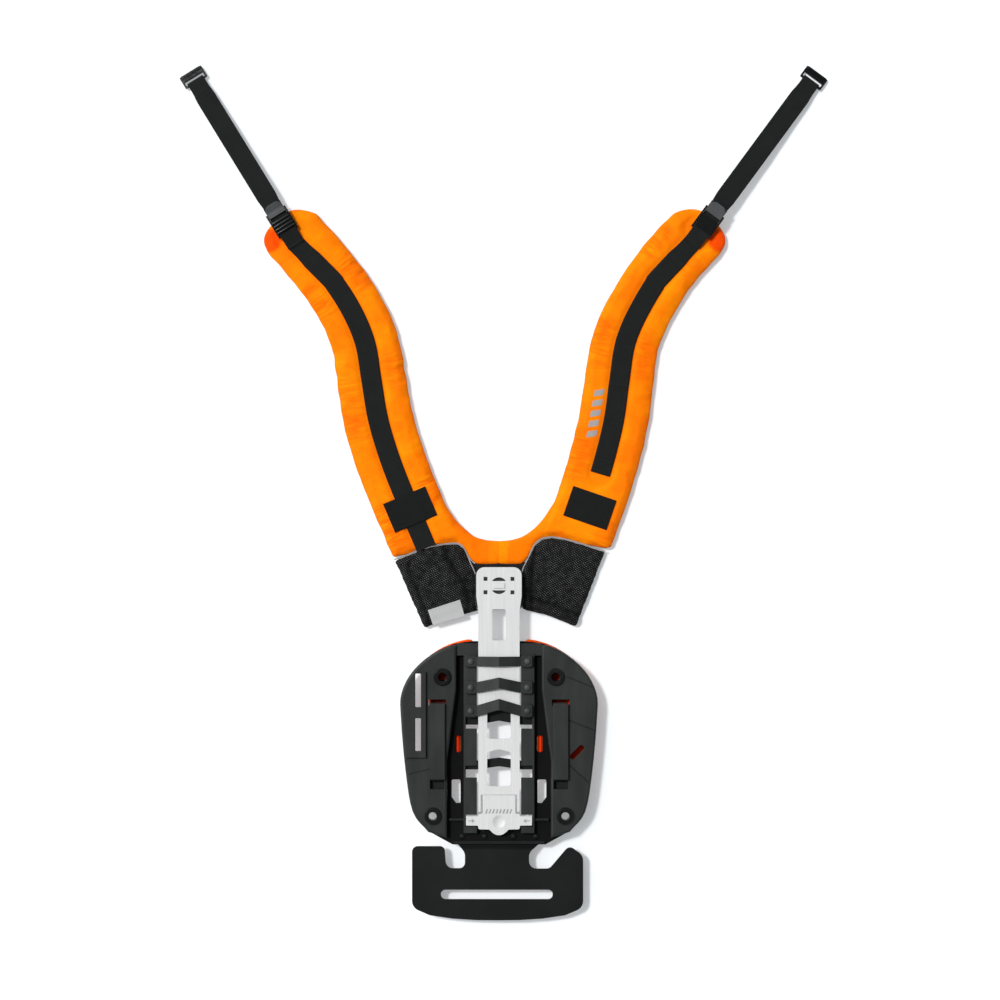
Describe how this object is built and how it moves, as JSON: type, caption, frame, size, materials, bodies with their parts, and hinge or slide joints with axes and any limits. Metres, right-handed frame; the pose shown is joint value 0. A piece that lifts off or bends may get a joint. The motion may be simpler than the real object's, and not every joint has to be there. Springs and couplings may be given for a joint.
{
  "type": "back carrier harness",
  "caption": "Padded orange shoulder harness whose metal spine rail slides and latches in a moulded black back plate above a slotted hip plate.",
  "frame": {"origin": "under the middle of the whole harness, on the surface it lies on; the rail centreline is X = 0", "axes": "+Y up the wearer's back towards the shoulders, +X to the right as seen from its outer side, +Z out of the outer side"},
  "size_m": [0.8111, 1.0685, 0.0384],
  "materials": {
    "orange_fabric": "padded woven fabric over foam",
    "black_webbing": "woven webbing and elastic",
    "black_mesh": "spacer mesh",
    "black_plastic": "moulded, satin",
    "black_coated_steel": "black powder coat",
    "aluminium": "brushed, clear anodised",
    "grey_trim": "woven label"
  },
  "bodies": {
    "back_frame": {"back_plate": "black_plastic", "guide_bar_1": "black_plastic", "guide_bar_2": "black_plastic", "guide_bar_3": "black_plastic", "guide_screw_1_left": "black_coated_steel", "guide_screw_1_right": "black_coated_steel", "guide_screw_2_left": "black_coated_steel", "guide_screw_2_right": "black_coated_steel", "guide_screw_3_left": "black_coated_steel", "guide_screw_3_right": "black_coated_steel", "grommet_upper_left": "black_plastic", "grommet_upper_right": "black_plastic", "grommet_lower_left": "black_plastic", "grommet_lower_right": "black_plastic", "slotted_bracket": "black_plastic", "back_cushion_left": "orange_fabric", "back_cushion_right": "orange_fabric", "hip_plate": "black_coated_steel", "hip_rivet_1": "black_coated_steel", "hip_rivet_2": "black_coated_steel", "hip_rivet_3": "black_coated_steel", "hip_rivet_4": "black_coated_steel"},
    "belt_clip_left": {"belt_clip_left": "black_plastic"},
    "belt_clip_right": {"belt_clip_right": "black_plastic"},
    "spine": {"spine_rail": "aluminium", "yoke_anchor": "black_plastic", "centre_panel": "black_mesh", "care_tag": "grey_trim", "shoulder_pad_left": "orange_fabric", "shoulder_pad_right": "orange_fabric", "mesh_panel_left": "black_mesh", "mesh_panel_right": "black_mesh", "keeper_left": "black_webbing", "keeper_right": "black_webbing", "shoulder_webbing_left": "black_webbing", "shoulder_webbing_right": "black_webbing"},
    "latch": {"latch_tongue": "aluminium"},
    "adjuster_left": {"adjuster_left": "black_plastic"},
    "strap_left": {"adjuster_strap_left": "black_webbing"},
    "buckle_left": {"end_buckle_left": "black_plastic"},
    "adjuster_right": {"adjuster_right": "black_plastic"},
    "strap_right": {"adjuster_strap_right": "black_webbing"},
    "buckle_right": {"end_buckle_right": "black_plastic"}
  },
  "joints": [
    {"name": "spine_slide", "type": "slide", "parent": "back_frame", "child": "spine", "axis": [0, 1, 0], "range_m": [0, 0.122]},
    {"name": "latch_press", "type": "hinge", "parent": "spine", "child": "latch", "pos_m": [0, -0.3762, 0.0293], "axis": [1, 0, 0], "range_deg": [0, 6], "stiffness_Nm_per_rad": 4.5},
    {"name": "belt_clip_left_flex", "type": "hinge", "parent": "back_frame", "child": "belt_clip_left", "pos_m": [-0.07665, -0.263, 0.027], "axis": [-1, 0, 0], "range_deg": [0, 8], "stiffness_Nm_per_rad": 12},
    {"name": "belt_clip_right_flex", "type": "hinge", "parent": "back_frame", "child": "belt_clip_right", "pos_m": [0.07665, -0.263, 0.027], "axis": [-1, 0, 0], "range_deg": [0, 8], "stiffness_Nm_per_rad": 12},
    {"name": "adjuster_left_swing", "type": "hinge", "parent": "spine", "child": "adjuster_left", "pos_m": [-0.26365, 0.32622, 0.0178], "axis": [0.8522, 0.5231, 0], "range_deg": [0, 60]},
    {"name": "strap_left_slide", "type": "slide", "parent": "adjuster_left", "child": "strap_left", "axis": [-0.522, 0.8504, -0.0663], "range_m": [0, 0.01]},
    {"name": "end_buckle_left_swing", "type": "hinge", "parent": "strap_left", "child": "buckle_left", "pos_m": [-0.37908, 0.51426, 0.00505], "axis": [0.8522, 0.5231, 0], "range_deg": [0, 70]},
    {"name": "adjuster_right_swing", "type": "hinge", "parent": "spine", "child": "adjuster_right", "pos_m": [0.2526, 0.32692, 0.0178], "axis": [0.8051, -0.5931, 0], "range_deg": [0, 60]},
    {"name": "strap_right_slide", "type": "slide", "parent": "adjuster_right", "child": "strap_right", "axis": [0.5918, 0.8034, -0.0663], "range_m": [0, 0.01]},
    {"name": "end_buckle_right_swing", "type": "hinge", "parent": "strap_right", "child": "buckle_right", "pos_m": [0.39027, 0.51381, 0.00429], "axis": [0.8051, -0.5931, 0], "range_deg": [0, 70]}
  ]
}
